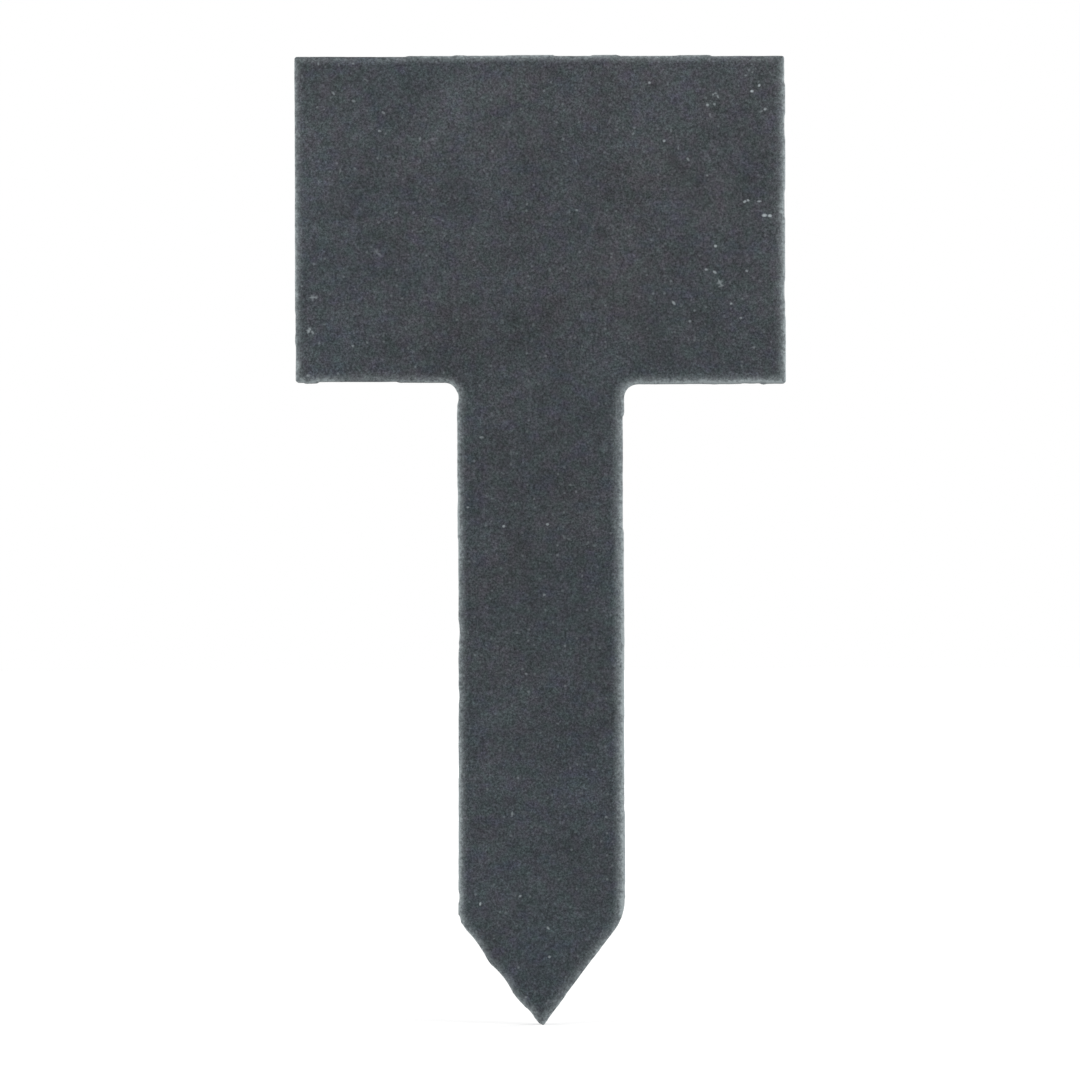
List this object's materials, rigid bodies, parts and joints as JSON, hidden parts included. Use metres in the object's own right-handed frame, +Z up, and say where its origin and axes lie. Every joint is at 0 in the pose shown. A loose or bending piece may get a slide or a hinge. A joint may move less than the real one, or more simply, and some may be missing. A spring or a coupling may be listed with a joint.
{
  "type": "plant label stake",
  "caption": "Slate plant label: a flat rectangular writing head on a straight stem that tapers to a blunt point for pushing into soil, with eased arrises.",
  "frame": {"origin": "the tip of the point, in the middle of the thickness", "axes": "+Z up along the stem from the tip to the head, as the label stands in a pot; +Y through the thickness from the writing face to the back; +X to the right as the writing face is read"},
  "size_m": [0.075, 0.0044, 0.1482],
  "materials": {
    "slate": "matte natural slate, fine even grain, paler where the arrises are eased"
  },
  "bodies": {
    "root": {"slate_label": "slate"}
  },
  "joints": []
}
